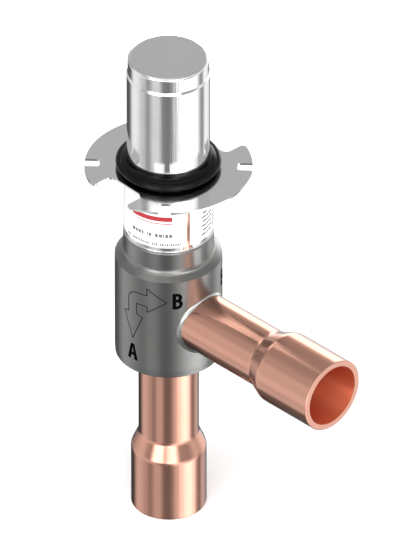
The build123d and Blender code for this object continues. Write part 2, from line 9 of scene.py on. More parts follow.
import bpy
import numpy as np
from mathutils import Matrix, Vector


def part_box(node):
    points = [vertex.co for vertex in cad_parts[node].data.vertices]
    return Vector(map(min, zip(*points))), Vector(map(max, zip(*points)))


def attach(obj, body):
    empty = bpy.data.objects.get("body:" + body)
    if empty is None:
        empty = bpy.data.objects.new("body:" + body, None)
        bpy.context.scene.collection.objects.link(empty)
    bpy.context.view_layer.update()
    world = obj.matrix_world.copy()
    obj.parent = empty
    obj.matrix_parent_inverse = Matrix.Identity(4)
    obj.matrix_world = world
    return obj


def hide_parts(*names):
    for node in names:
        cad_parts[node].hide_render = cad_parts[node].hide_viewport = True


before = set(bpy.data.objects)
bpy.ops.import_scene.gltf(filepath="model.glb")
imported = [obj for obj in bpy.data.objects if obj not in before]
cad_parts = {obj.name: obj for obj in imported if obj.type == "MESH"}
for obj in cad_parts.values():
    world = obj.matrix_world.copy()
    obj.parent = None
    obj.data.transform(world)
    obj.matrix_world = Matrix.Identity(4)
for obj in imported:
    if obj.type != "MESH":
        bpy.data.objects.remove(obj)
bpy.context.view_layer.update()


# Valve body: a bar of steel, turned to size and bored, then plated to a dull satin. The tool
# leaves fine rings round the axis, and hands leave faint smudges that change how it shines.
def put(tree, kind, feeds, **settings):
    """Adds a node: settings are its own options, and feeds go to its inputs, values or outputs."""
    node = tree.nodes.new(kind)
    for name, value in settings.items():
        setattr(node, name, value)
    for name, value in feeds.items():
        if isinstance(value, bpy.types.NodeSocket):
            tree.links.new(value, node.inputs[name])
        else:
            node.inputs[name].default_value = value
    return node


def reckon(tree, operation, first, second=0.0):
    """One sum, such as a product or a quotient, of two numbers or outputs."""
    return put(tree, "ShaderNodeMath", {0: first, 1: second}, operation=operation).outputs[0]


def noise(tree, place, scale, detail, distortion=0.0):
    """Soft random blotches: scale is how many lie in a metre, detail how many finer layers."""
    feeds = {"Vector": place, "Scale": scale, "Detail": detail, "Distortion": distortion}
    return put(tree, "ShaderNodeTexNoise", feeds).outputs["Fac"]


def effect(name, numbers, outputs):
    """A node group that takes a Place and the named numbers, and puts out the named values."""
    group = bpy.data.node_groups.new(name, "ShaderNodeTree")
    group.interface.new_socket("Place", in_out="INPUT", socket_type="NodeSocketVector")
    for number, usual in numbers.items():
        socket = group.interface.new_socket(number, in_out="INPUT", socket_type="NodeSocketFloat")
        socket.default_value = usual
    for output in outputs:
        group.interface.new_socket(output, in_out="OUTPUT", socket_type="NodeSocketFloat")
    given = group.nodes.new("NodeGroupInput").outputs
    wanted = group.nodes.new("NodeGroupOutput").inputs
    return group, given, wanted


def across_axis(tree, place):
    """The parts of a place along X, Y and Z, and its distance from the Z axis."""
    parts = put(tree, "ShaderNodeSeparateXYZ", {0: place}).outputs
    flat = put(tree, "ShaderNodeCombineXYZ", {0: parts["X"], 1: parts["Y"]}).outputs[0]
    away = put(tree, "ShaderNodeVectorMath", {0: flat}, operation="LENGTH").outputs["Value"]
    return parts, away


# Rings cut by a lathe: noise over the distance from the axis and the height alone
turned_rings, given, wanted = effect("turned rings", {"Rings per metre": 4000}, ["Rings", "Bands"])
parts, away = across_axis(turned_rings, given["Place"])
out = reckon(turned_rings, "MULTIPLY", away, given["Rings per metre"])
up = reckon(turned_rings, "MULTIPLY", parts["Z"], given["Rings per metre"])
ring_place = put(turned_rings, "ShaderNodeCombineXYZ", {0: out, 1: up}).outputs[0]
fine = noise(turned_rings, ring_place, scale=1.0, detail=3.0)
broad = noise(turned_rings, ring_place, scale=0.12, detail=2.0)
turned_rings.links.new(fine, wanted["Rings"])
turned_rings.links.new(broad, wanted["Bands"])

# Marks of use: soft smudges a centimetre across, and fine short scuffs
handling, given, wanted = effect(
    "handling", {"Smudge size": 0.012, "Scuff size": 0.0008}, ["Smudge", "Scuff"]
)
smudge_scale = reckon(handling, "DIVIDE", 1.0, given["Smudge size"])
scuff_scale = reckon(handling, "DIVIDE", 1.0, given["Scuff size"])
blotches = noise(handling, given["Place"], smudge_scale, detail=3.0, distortion=0.6)
scuffs = noise(handling, given["Place"], scuff_scale, detail=4.0)
smudges = put(
    handling, "ShaderNodeMapRange", {"Value": blotches, "From Min": 0.35, "From Max": 0.68},
    interpolation_type="SMOOTHSTEP",
)
handling.links.new(smudges.outputs[0], wanted["Smudge"])
handling.links.new(scuffs, wanted["Scuff"])


def finish(name, metallic, roughness, colour):
    """A new material with its shader's plain settings, and what the rest of it is built from."""
    material = bpy.data.materials.new(name)
    material.use_nodes = True
    tree = material.node_tree
    shader = tree.nodes["Principled BSDF"]
    shader.inputs["Metallic"].default_value = metallic
    shader.inputs["Roughness"].default_value = roughness
    shader.inputs["Base Color"].default_value = (*colour, 1)
    place = tree.nodes.new("ShaderNodeTexCoord").outputs["Object"]
    return material, tree, shader, place


def between(tree, mask, low, high):
    """A number that goes from low to high as the mask goes from 0 to 1."""
    feeds = {"Value": mask, "To Min": low, "To Max": high}
    return put(tree, "ShaderNodeMapRange", feeds).outputs[0]


def tint(tree, shader, mask, one, other):
    """Feeds the shader a colour that goes from one to the other as the mask goes from 0 to 1."""
    feeds = {"Factor": mask, 6: (*one, 1), 7: (*other, 1)}
    mixer = put(tree, "ShaderNodeMix", feeds, data_type="RGBA")
    tree.links.new(mixer.outputs[2], shader.inputs["Base Color"])


def rough_and_bumpy(tree, shader, mask, roughness, height, depth):
    """Feeds the shader a roughness that the mask moves between two, and a relief of that depth."""
    tree.links.new(between(tree, mask, *roughness), shader.inputs["Roughness"])
    relief = put(tree, "ShaderNodeBump", {"Height": height, "Strength": 1.0, "Distance": depth})
    tree.links.new(relief.outputs[0], shader.inputs["Normal"])


def turned_metal(name, colour, dulled, roughness, ring_depth, rings_per_metre=4000.0):
    """A lathe-turned metal: rings in its relief and gloss, smudges in its gloss and colour."""
    material, tree, shader, place = finish(name, 1.0, roughness[0], colour)
    feeds = {"Place": place, "Rings per metre": rings_per_metre}
    rings = put(tree, "ShaderNodeGroup", feeds, node_tree=turned_rings).outputs
    use = put(tree, "ShaderNodeGroup", {"Place": place}, node_tree=handling).outputs
    worn = reckon(tree, "MULTIPLY", use["Smudge"], rings["Bands"])
    tint(tree, shader, worn, colour, dulled)
    dullness = reckon(tree, "MULTIPLY", reckon(tree, "ADD", worn, rings["Bands"]), 0.6)
    rough_and_bumpy(tree, shader, dullness, roughness, rings["Rings"], ring_depth)
    return material


def wear(node, material):
    """Gives a node of the frame its finish."""
    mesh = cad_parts[node].data
    mesh.materials.clear()
    mesh.materials.append(material)


plated, plated_worn = (0.30, 0.30, 0.294), (0.275, 0.275, 0.27)
satin_steel = turned_metal("satin steel", plated, plated_worn, (0.28, 0.33), ring_depth=4e-7)
wear("valve_body", satin_steel)


# Copper ports: drawn tube, its end swelled over a mandrel to take a 22 mm pipe. Drawing leaves
# faint lines along each tube. Pickling left the metal bright with a few pinker patches. Inside the
# socket it is duller, and its colour is painted a deeper red that stands in for light bouncing
# round the bore.
drawn_lines, given, wanted = effect("drawn lines", {"Lines": 40}, ["Lines", "Patches"])
parts, away = across_axis(drawn_lines, given["Place"])

# The lines are noise that changes fast round the Z axis and slowly along it
changes_along = 60.0
line_parts = {2: reckon(drawn_lines, "MULTIPLY", parts["Z"], changes_along)}
for slot in (0, 1):
    turned_part = reckon(drawn_lines, "DIVIDE", parts[slot], away)
    line_parts[slot] = reckon(drawn_lines, "MULTIPLY", turned_part, given["Lines"])
line_place = put(drawn_lines, "ShaderNodeCombineXYZ", line_parts).outputs[0]
lines = noise(drawn_lines, line_place, scale=1.0, detail=4.0)
patches = noise(drawn_lines, given["Place"], scale=90.0, detail=3.0)
drawn_lines.links.new(lines, wanted["Lines"])
drawn_lines.links.new(patches, wanted["Patches"])


def drawn_copper(name, axis, turn, shift, colours, gloss, grooves=0.5, coat=1.0, metallic=1.0):
    """Copper tube: shift brings its mouth to the origin, and turn then brings its axis onto Z.

    Cleaning left grooves round it, too fine to see, that draw out what the metal mirrors along it.
    """
    material, tree, shader, place = finish(name, metallic, gloss[0], colours[0])
    shader.inputs["Coat Weight"].default_value = coat
    shader.inputs["Coat Roughness"].default_value = 0.14
    shader.inputs["Specular Tint"].default_value = (0.2, 0.2, 0.2, 1)
    shader.inputs["Anisotropic"].default_value = grooves
    shader.inputs["Anisotropic Rotation"].default_value = 0.25
    round_tube = put(tree, "ShaderNodeTangent", {}, direction_type="RADIAL", axis=axis)
    tree.links.new(round_tube.outputs[0], shader.inputs["Tangent"])
    centred = put(tree, "ShaderNodeMapping", {"Vector": place, "Location": shift}).outputs[0]
    upright = put(tree, "ShaderNodeMapping", {"Vector": centred, "Rotation": turn}).outputs[0]
    tube = put(tree, "ShaderNodeGroup", {"Place": upright}, node_tree=drawn_lines).outputs
    use = put(tree, "ShaderNodeGroup", {"Place": place}, node_tree=handling).outputs
    tint(tree, shader, tube["Patches"], *colours)
    rough_and_bumpy(tree, shader, use["Smudge"], gloss, tube["Lines"], depth=1.5e-7)
    return material


# A socket's bore is 11.15 mm in radius and 24 mm deep. Its skin is told from the outer one by
# lengths that lie a little beyond both.
lining_radius, lining_depth = 0.0116, 0.026


def line_socket(node, mouth, along, material):
    """Gives the faces inside a socket, near its axis and close to its mouth, a second finish."""
    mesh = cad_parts[node].data
    mesh.materials.append(material)
    centres = np.empty(3 * len(mesh.polygons))
    mesh.polygons.foreach_get("center", centres)
    from_mouth = centres.reshape(-1, 3) - mouth
    depth = np.abs(from_mouth[:, along])
    away = np.linalg.norm(np.delete(from_mouth, along, axis=1), axis=1)
    inside = (away < lining_radius) & (depth < lining_depth)
    mesh.polygons.foreach_set("material_index", inside.astype(int))


bright_copper = (0.80, 0.390, 0.275), (0.78, 0.405, 0.30)
# Painted bounce light: the sockets' deeper, redder copper stands in for light reflected round the
# bore
painted_bounce_red = (0.97, 0.27, 0.14), (0.93, 0.25, 0.13)
port_b_reach, port_b_height = 0.0802, 0.0849
for node, axis, turn, mouth, gloss in (
    ("port_a_tube", "Z", (0, 0, 0), (0, 0, 0), (0.17, 0.21)),
    ("port_b_tube", "X", (0, radians(-90), 0), (port_b_reach, 0, port_b_height), (0.18, 0.22)),
):
    shift = tuple(-part for part in mouth)
    wear(node, drawn_copper("copper of " + node, axis, turn, shift, bright_copper, gloss))
    # The lining's red is painted bounce light inside the bore, not a colour of the metal
    lining = drawn_copper(
        "inside of " + node, axis, turn, shift, painted_bounce_red, (0.43, 0.48),
        grooves=0.9, coat=0.15, metallic=0.88,
    )
    line_socket(node, mouth, "XYZ".index(axis), lining)


# Braze fillets: silver alloy run round each tube's root by torch. It froze with a faintly
# rippled skin, and at port B it lies thin on top and thick on the side where it pooled.
def brazed_skin():
    """Silver alloy that froze with small ripples."""
    pale, grey = (0.60, 0.60, 0.565), (0.50, 0.51, 0.49)
    material, tree, shader, place = finish("silver braze", 1.0, 0.22, pale)
    ripple = noise(tree, place, scale=420.0, detail=2.0, distortion=0.6)
    tint(tree, shader, ripple, pale, grey)
    rough_and_bumpy(tree, shader, ripple, (0.20, 0.30), ripple, depth=6e-6)
    return material


def sheet_mesh(name, grids, joined=(False, False)):
    """One mesh from grids of points: rows by columns, each grid a skin of four-sided faces.

    joined says whether the last row meets the first, and the last column the first.
    """
    points, faces, start = [], [], 0
    for grid in grids:
        rows, columns = grid.shape[:2]
        number = start + np.arange(rows * columns).reshape(rows, columns)
        if joined[0]:
            number = np.vstack([number, number[:1]])
        if joined[1]:
            number = np.hstack([number, number[:, :1]])
        corners = (number[:-1, :-1], number[:-1, 1:], number[1:, 1:], number[1:, :-1])
        faces.append(np.stack([corner.ravel() for corner in corners], axis=1))
        points.append(grid.reshape(-1, 3))
        start += rows * columns
    mesh = bpy.data.meshes.new(name)
    mesh.from_pydata(np.concatenate(points), [], np.concatenate(faces))
    mesh.update()
    mesh.shade_smooth()
    mesh.set_sharp_from_angle(angle=radians(40))
    piece = bpy.data.objects.new(name, mesh)
    bpy.context.scene.collection.objects.link(piece)
    return piece


body_radius, neck_radius = 0.0188, 0.0106
edge_tuck, root_tuck = 1e-5, 4e-4


def fillet_skin(steps=240, across=12):
    """The fillet round port B, as rows about the tube's axis.

    At an angle a from +Y the root is (sqrt(R^2 - (r cos a)^2), r cos a, r sin a). One edge lies a
    leg along the tube from it, the other a leg out over the body, and between them each point is
    (1-t)^2 edge + 2t(1-t) hollow + t^2 edge, where the hollow is 0.65 root + 0.35 of the edges'
    middle. Three points under the two metals' skins close the row.
    """
    angle = np.linspace(0, 360, steps, endpoint=False)
    tube_legs = [
        (0, 0.9), (60, 0.6), (90, 0.5), (130, 0.9), (155, 1.3), (190, 1.5), (240, 1.3), (300, 1.1),
    ]
    body_legs = [(0, 1.1), (60, 0.7), (90, 0.55), (120, 1.0), (165, 0.7), (220, 1.3), (280, 1.2)]
    on_tube = 1e-3 * np.interp(angle, *zip(*tube_legs), period=360)
    on_body = 1e-3 * np.interp(angle, *zip(*body_legs), period=360)
    wave = np.radians(angle)
    # Both edges waver by a few hundredths of a millimetre
    on_tube = on_tube + 4e-5 * np.sin(5 * wave) + 3e-5 * np.sin(13 * wave + 1)
    on_body = on_body + 5e-5 * np.sin(4 * wave + 2) + 3e-5 * np.sin(11 * wave)

    def ring(radius, along, sink=0.0):
        """The line where that radius round the tube meets the body, moved along or sunk in."""
        side, rise = radius * np.cos(wave), radius * np.sin(wave)
        reach = np.sqrt((body_radius - sink) ** 2 - side**2)
        return np.stack([reach + along, side, port_b_height + rise], axis=-1)

    tube_edge = ring(neck_radius - edge_tuck, on_tube)
    body_edge = ring(neck_radius + on_body, 0.0, edge_tuck)
    hollow = 0.65 * ring(neck_radius, 0.0) + 0.175 * (tube_edge + body_edge)
    t = np.linspace(0, 1, across)[None, :, None]
    skin = (
        tube_edge[:, None] * (1 - t) ** 2
        + 2 * hollow[:, None] * t * (1 - t)
        + body_edge[:, None] * t**2
    )
    under_body = ring(neck_radius + on_body, 0.0, root_tuck)
    under_root = ring(neck_radius - root_tuck, 0.0, root_tuck)
    under_tube = ring(neck_radius - root_tuck, on_tube)
    under = np.stack([under_body, under_root, under_tube], axis=1)
    return np.concatenate([skin, under], axis=1)


silver_braze = brazed_skin()
wear("port_a_braze", silver_braze)
port_b_fillet = sheet_mesh("port_b_fillet", [fillet_skin()], joined=(True, True))
port_b_fillet.data.materials.append(silver_braze)
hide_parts("port_b_braze")
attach(port_b_fillet, "housing")


# Marks on the body: the letters A and B by the ports and a bent arrow between them, laser-cut
# into the plating. The letters are burnt black; the arrow is only a thin dark outline.
mark_rise = 1.2e-5


def laid_round(one_edge, other_edge, columns=4, radius=body_radius + mark_rise):
    """A strip of skin on a cylinder between two lines, each a list of (along, up) in metres.

    A point is one_edge + (other_edge - one_edge) * t; along / radius is its angle round the axis.
    """
    one, other = np.asarray(one_edge, float), np.asarray(other_edge, float)
    t = np.linspace(0.0, 1.0, columns)[None, :, None]
    flat = one[:, None] * (1 - t) + other[:, None] * t
    angle = flat[..., 0] / radius
    return np.stack([radius * np.cos(angle), radius * np.sin(angle), flat[..., 1]], axis=-1)


def facing_out(grid):
    """The same grid, turned over if its faces point at the valve's axis."""
    side = np.cross(grid[1, 0] - grid[0, 0], grid[0, 1] - grid[0, 0])
    outward = np.array([grid[0, 0, 0], grid[0, 0, 1], 0.0])
    return grid[:, ::-1] if np.dot(side, outward) > 0 else grid


def straight(start, end, count=14):
    """Points evenly along a straight line."""
    return np.linspace(start, end, count)


def letter_a(left, foot, width, height):
    """A capital A: two legs that meet under a flat top, and a bar between them."""
    stroke, top, inside = width * 0.32, width * 0.34, height * 0.80
    middle, head = left + width / 2, foot + height
    bar_low, bar_high = foot + height * 0.26, foot + height * 0.43
    parts = []
    for side in (-1, 1):
        outer = straight((middle + side * width / 2, foot), (middle + side * top / 2, head))
        inner = straight((middle + side * (width / 2 - stroke), foot), (middle, foot + inside))
        parts.append((np.vstack([outer, outer[-1:]]), np.vstack([inner, [(middle, head)]])))
    reach = width / 2 - stroke
    low_half = reach * (1 - (bar_low - foot) / inside)
    high_half = reach * (1 - (bar_high - foot) / inside)
    parts.append(
        (
            straight((middle - low_half, bar_low), (middle + low_half, bar_low)),
            straight((middle - high_half, bar_high), (middle + high_half, bar_high)),
        )
    )
    return parts


def bowl(left, low, high, right):
    """A bowl's edge: out along the top, round a half circle and back along the foot."""
    turn = np.linspace(np.pi / 2, -np.pi / 2, 17)
    middle, half = (low + high) / 2, (high - low) / 2
    curve = np.stack([right - half + half * np.cos(turn), middle + half * np.sin(turn)], axis=1)
    return np.vstack([[(left, high)], curve, [(left, low)]])


def letter_b(left, foot, width, height):
    """A capital B: a stem and two bowls, the lower one a little wider."""
    stroke, bar = width * 0.35, height * 0.18
    start, waist, head = left + stroke, foot + height * 0.53, foot + height
    upper_right, lower_right = left + width * 0.94, left + width
    stem = (straight((left, foot), (left, head)), straight((start, foot), (start, head)))
    upper = (
        bowl(start, waist - bar / 2, head, upper_right),
        bowl(start, waist + bar / 2, head - bar, upper_right - stroke),
    )
    lower = (
        bowl(start, foot, waist + bar / 2, lower_right),
        bowl(start, foot + bar, waist - bar / 2, lower_right - stroke),
    )
    return [stem, upper, lower]


def bent_arrow(flip):
    """The outline of a two-headed arrow that turns a corner, as a closed line of (along, up).

    The outer corner is a quarter circle; a flip of -1 lays the arrow on the body's other side.
    """
    tip_b, tip_a = (-0.01547, 0.09718), (-0.02842, 0.07918)
    left, right, low, high = -0.03038, -0.02672, 0.09457, 0.09922
    base_b, base_a, slant = -0.02250, 0.08985, 0.0003
    barbs_b, barbs_a = (0.10207, 0.09223), (-0.03241, -0.02424)
    bend = 0.00390
    turn = np.linspace(np.pi / 2, np.pi, 11)
    quarter = np.stack([1 + np.cos(turn), np.sin(turn)], axis=1)
    outer = np.array([left, high - bend]) + bend * quarter
    line = [tip_b, (base_b, barbs_b[0]), (base_b, high), *outer]
    line += [(left, base_a), (barbs_a[0], base_a - slant), tip_a, (barbs_a[1], base_a - 2 * slant)]
    line += [(right, base_a + slant), (right, low), (base_b, low), (base_b, barbs_b[1])]
    return np.array(line) * (flip, 1)


def outline_strip(line, width):
    """Two lines either side of a closed outline, mitred at its corners, with fine steps along it.

    With n and m the normals of a corner's two sides, its edges lie (n + m) width / 2 / (n + m).m
    on either side of it.
    """
    ahead = np.roll(line, -1, axis=0) - line
    ahead /= np.linalg.norm(ahead, axis=1, keepdims=True)
    sideways = np.stack([-ahead[:, 1], ahead[:, 0]], axis=1)
    before = np.roll(sideways, 1, axis=0)
    mitre = sideways + before
    never_zero = 1e-9
    mitre *= width / (never_zero + np.sum(mitre * sideways, axis=1, keepdims=True)) / 2
    edges = []
    for side in (-1, 1):
        edge = line + side * mitre
        ends = zip(edge, np.roll(edge, -1, axis=0))
        steps = [np.linspace(start, end, 12)[:-1] for start, end in ends]
        edges.append(np.vstack(steps + [edge[:1]]))
    return edges


letter_height, a_width, b_width = 0.0066, 0.0046, 0.0037
a_left, a_foot = -0.0308, 0.0701
b_left, b_foot = -0.0134, 0.0944
letters = letter_a(a_left, a_foot, a_width, letter_height)
letters += letter_b(b_left, b_foot, b_width, letter_height)
letters += letter_a(-a_left - a_width, a_foot, a_width, letter_height)
letters += letter_b(-b_left - b_width, b_foot, b_width, letter_height)
port_letters = sheet_mesh("port_letters", [facing_out(laid_round(*part)) for part in letters])

arrow_line = 0.00034
arrow_edges = [outline_strip(bent_arrow(flip), arrow_line) for flip in (1, -1)]
arrow_strips = [facing_out(laid_round(*edges, columns=2)) for edges in arrow_edges]
flow_arrows = sheet_mesh("flow_arrows", arrow_strips)


def burnt_mark(name, colour):
    """Laser-burnt plating: dark, dry, with a fine grain."""
    material, tree, shader, place = finish(name, 0.0, 0.8, colour)
    shader.inputs["Specular IOR Level"].default_value = 0.0
    grain = noise(tree, place, scale=6000.0, detail=2.0)
    tint(tree, shader, grain, colour, tuple(1.8 * part for part in colour))
    rough_and_bumpy(tree, shader, grain, (0.7, 0.9), grain, depth=2e-6)
    return material


port_letters.data.materials.append(burnt_mark("burnt black", (0.0012, 0.0012, 0.0012)))
flow_arrows.data.materials.append(burnt_mark("burnt line", (0.006, 0.006, 0.006)))
for mark in (port_letters, flow_arrows):
    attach(mark, "housing")


# Bonnet: turned and polished steel, with the same fine rings but a mirror's shine. The index
# plate is cold-rolled strip, blanked out and polished flat, and so is the clip on the magnet. The
# rotor's hub is turned and polished like the bonnet.
polish, polish_worn = (0.93, 0.93, 0.93), (0.88, 0.88, 0.88)
polished_steel = turned_metal("polished steel", polish, polish_worn, (0.08, 0.12), ring_depth=2e-7)
wear("bonnet", polished_steel)
wear("rotor_hub", polished_steel)


def rolled_sheet():
    """Polished strip: faint straight lines from the rolls, and soft smudges."""
    material, tree, shader, place = finish("rolled steel", 1.0, 0.12, (0.95, 0.95, 0.95))
    use = put(tree, "ShaderNodeGroup", {"Place": place}, node_tree=handling).outputs
    tint(tree, shader, use["Smudge"], (0.96, 0.96, 0.96), (0.91, 0.91, 0.905))
    close_across = {"Vector": place, "Scale": (3000, 60, 60)}
    stretched = put(tree, "ShaderNodeMapping", close_across).outputs[0]
    rolls = noise(tree, stretched, scale=1.0, detail=3.0)
    rough_and_bumpy(tree, shader, use["Smudge"], (0.10, 0.15), rolls, depth=1.5e-7)
    return material


rolled_steel = rolled_sheet()
wear("index_plate", rolled_steel)
wear("magnet_clip", rolled_steel)


# Wrap label: white plastic film under a clear gloss, stuck round the bonnet with its two ends a
# little over a millimetre apart. The print is generic: a red band over a thin red line, grey
# dashes in rows, and a block of short dashes.
def gloss_film():
    """White film under a clear coat, with the faint waviness of something stuck on by hand."""
    white, yellowed = (0.95, 0.95, 0.95), (0.92, 0.92, 0.91)
    material, tree, shader, place = finish("label film", 0.0, 0.35, white)
    shader.inputs["Coat Weight"].default_value = 0.15
    shader.inputs["Coat Roughness"].default_value = 0.03
    wave = noise(tree, place, scale=140.0, detail=1.0)
    tint(tree, shader, wave, white, yellowed)
    rough_and_bumpy(tree, shader, wave, (0.3, 0.4), wave, depth=3e-6)
    return material


def carried_round(radius, height, turn):
    """A profile of radii and heights carried round Z: each point is (r cos a, r sin a, z)."""
    across = [np.outer(np.cos(turn), radius), np.outer(np.sin(turn), radius)]
    return np.stack([*across, np.tile(height, (len(turn), 1))], axis=-1)


label_low, label_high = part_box("wrap_label")
label_radius, film = label_high[0], 1e-4
seam_start, seam_end = radians(-20.9), radians(-16.2)


def film_wall(steps=180):
    """The film's closed wall: inside up, outside down, from one end of the seam round to the other.

    At each end of the film the wall closes on the middle of its section.
    """
    radius = label_radius - film * np.array([1, 1, 0, 0])
    height = np.array([label_low[2], label_high[2], label_high[2], label_low[2]])
    wall = carried_round(radius, height, np.linspace(seam_end, seam_start + 2 * np.pi, steps))
    ends = [wall[i].mean(axis=0, keepdims=True).repeat(4, axis=0)[None] for i in (0, -1)]
    return np.concatenate([ends[0], wall, ends[1]])


seamed_label = sheet_mesh("seamed_label", [film_wall()], joined=(False, True))
seamed_label.data.materials.append(gloss_film())
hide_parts("wrap_label")
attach(seamed_label, "housing")

print_radius = label_radius + mark_rise


def printed_row(start, low, high, widths, gap):
    """A row of bars on the label, between two heights and from start degrees round the axis.

    Each width in degrees is a bar, or a blank if it is negative, and the gap follows it.
    """
    bars = []
    for width in widths:
        if width > 0:
            along = np.radians(np.linspace(start, start + width, 2 + int(width))) * print_radius
            edges = [np.stack([along, np.full_like(along, up)], axis=1) for up in (low, high)]
            bars.append(facing_out(laid_round(*edges, columns=2, radius=print_radius)))
        start += abs(width) + gap
    return bars


def dry_ink(name, colour):
    """Printing ink, a little uneven, under the label's gloss."""
    material, tree, shader, place = finish(name, 0.0, 0.4, colour)
    patchy = noise(tree, place, scale=1500.0, detail=2.0)
    tint(tree, shader, patchy, colour, tuple(min(1.0, 1.3 * part + 0.02) for part in colour))
    rough_and_bumpy(tree, shader, patchy, (0.35, 0.5), patchy, depth=1e-6)
    return material


wide_dashes = (5, 3.4, 4.2, 3, -2.5, 1.8, 4, -2.5, 4, 4.6, 1.8, 4, 4)
fine_dashes = (2, 1.6, 2.4, -1.5, 2, 2.6, 1.8, 2.2, 1.4, 2.4, 2, 1.8, 2.2, 1.6)
red_bars = printed_row(-97, 0.1294, 0.1313, (57,), 0) + printed_row(-90, 0.1282, 0.1286, (50,), 0)
grey_bars = printed_row(-97, 0.1226, 0.1240, wide_dashes, 1.0)
grey_bars += printed_row(-108, 0.1190, 0.1201, fine_dashes + (-1.5,) + fine_dashes, 0.8)
grey_bars += printed_row(-62, 0.1362, 0.1373, (1.5, -3, 3, 2.4, 2), 1.0)
for number, up in enumerate(np.linspace(0.1200, 0.1290, 6)):
    back_dashes = (30, 12, -6, 22, 18, 40 - 6 * (number % 3))
    grey_bars += printed_row(2 + 2 * (number % 2), up, up + 0.0007, (9, 4, 7, -3, 12, 6, 10), 1.2)
    grey_bars += printed_row(95, up, up + 0.0005, back_dashes, 2.0)
red_print = sheet_mesh("red_print", red_bars)
grey_print = sheet_mesh("grey_print", grey_bars)
red_print.data.materials.append(dry_ink("red ink", (0.33, 0.007, 0.014)))
grey_print.data.materials.append(dry_ink("grey ink", (0.10, 0.10, 0.105)))
for mark in (red_print, grey_print):
    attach(mark, "housing")


# Rubber ring: moulded black nitrile that seals the coil. A thin lip hugs the can and falls to a
# narrow valley, and outside it a round bead hangs over a deeply undercut foot on the index plate.
def moulded_rubber():
    """Black rubber with a close mould skin and a trace of dust where it faces up."""
    black, dusty = (0.0014, 0.0014, 0.0016), (0.0045, 0.0044, 0.0042)
    material, tree, shader, place = finish("black rubber", 0.0, 0.14, black)
    shader.inputs["Specular IOR Level"].default_value = 0.22
    feeds = {"Place": place, "Scuff size": 0.0004}
    use = put(tree, "ShaderNodeGroup", feeds, node_tree=handling).outputs
    facing = put(tree, "ShaderNodeNewGeometry", {}).outputs["Normal"]
    upward = put(tree, "ShaderNodeSeparateXYZ", {0: facing}).outputs[2]
    dust = reckon(tree, "MULTIPLY", reckon(tree, "MAXIMUM", upward), use["Scuff"])
    tint(tree, shader, reckon(tree, "MULTIPLY", dust, 0.6), black, dusty)
    rough_and_bumpy(tree, shader, use["Smudge"], (0.06, 0.11), use["Scuff"], depth=1e-6)
    return material


def rounded(centre_r, centre_z, radius, start, end, count=12):
    """Points of an arc in (radius, height), from one angle to another in degrees above outward."""
    angle = np.radians(np.linspace(start, end, count))
    return np.stack([centre_r + radius * np.cos(angle), centre_z + radius * np.sin(angle)], axis=1)


# The ring's section, clockwise from the foot's inner corner, as (radius, height) in millimetres
ring_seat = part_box("coil_seal_ring")[0][2] * 1e3
ring_profile = np.vstack(
    [
        [(14.8, ring_seat), (14.8, 148.20), (14.53, 148.40)],
        rounded(14.70, 148.64, 0.17, 180, 0),
        [(14.89, 147.9), (14.93, 147.10), (15.04, 146.80)],
        rounded(15.17, 146.85, 0.14, 205, 265, 8),
        rounded(17.15, 144.84, 1.25, 112, -110, 44),
        [(16.25, 143.5), (16.2, ring_seat)],
    ]
)
ring_turn = np.linspace(0, 2 * np.pi, 192, endpoint=False)
ring_skin = carried_round(*(1e-3 * ring_profile.T), ring_turn)
seal_ring = sheet_mesh("seal_ring", [ring_skin], joined=(True, True))
seal_ring.data.materials.append(moulded_rubber())
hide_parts("coil_seal_ring")
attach(seal_ring, "housing")


# Rotor can: stainless steel drawn deep from one blank, its crown ironed flat and its skin bright.
# Drawing leaves fine waves up its wall that ruffle the edges of what it mirrors. They are plainest
# in a narrow band down one side.
wavy_side = 0.85, -0.53
band_edge, band_middle = 0.968, 0.99
wall_starts = 0.0138


def deep_drawn_steel():
    """Bright steel with the die's upright waves, and smudges where the coil slides over it."""
    bright, dulled = (0.96, 0.96, 0.96), (0.92, 0.92, 0.92)
    material, tree, shader, place = finish("can steel", 1.0, 0.09, bright)
    feeds = {"Place": place, "Lines": 26}
    drawn = put(tree, "ShaderNodeGroup", feeds, node_tree=drawn_lines).outputs
    use = put(tree, "ShaderNodeGroup", {"Place": place}, node_tree=handling).outputs
    tint(tree, shader, use["Smudge"], bright, dulled)
    parts, away = across_axis(tree, place)
    shares = [reckon(tree, "MULTIPLY", parts[slot], wavy_side[slot]) for slot in (0, 1)]
    facing = reckon(tree, "DIVIDE", reckon(tree, "ADD", *shares), away)
    feeds = {"Value": facing, "From Min": band_edge, "From Max": band_middle}
    band = put(tree, "ShaderNodeMapRange", feeds).outputs[0]
    on_wall = reckon(tree, "GREATER_THAN", away, wall_starts)
    strength = reckon(tree, "MULTIPLY", on_wall, between(tree, band, 0.2, 1.0))
    waves = reckon(tree, "MULTIPLY", drawn["Lines"], strength)
    rough_and_bumpy(tree, shader, use["Smudge"], (0.08, 0.12), waves, depth=7e-5)
    return material


wear("rotor_can", deep_drawn_steel())


# What the body, the bonnet and the can hide: the seat, the guide sleeve and its key, the bearing,
# the spindle and the rotor. Each has the finish of its own metal or plastic.
hard_steel = turned_metal(
    "hard steel", (0.60, 0.60, 0.61), (0.52, 0.52, 0.52), (0.14, 0.24),
    ring_depth=8e-7, rings_per_metre=6000.0,
)
bronze = turned_metal(
    "bronze", (0.78, 0.52, 0.24), (0.64, 0.42, 0.20), (0.20, 0.34),
    ring_depth=1.2e-6, rings_per_metre=5000.0,
)
soft_copper = turned_metal(
    "soft copper", (0.90, 0.47, 0.36), (0.74, 0.38, 0.28), (0.24, 0.36), ring_depth=1e-6
)


def dull_solid(name, colour, paler, roughness, grain_scale, depth):
    """A pressed or sintered material with an even grain."""
    material, tree, shader, place = finish(name, 0.0, roughness, colour)
    grain = noise(tree, place, grain_scale, detail=4.0)
    tint(tree, shader, grain, colour, paler)
    rough_and_bumpy(tree, shader, grain, (roughness, roughness + 0.15), grain, depth)
    return material


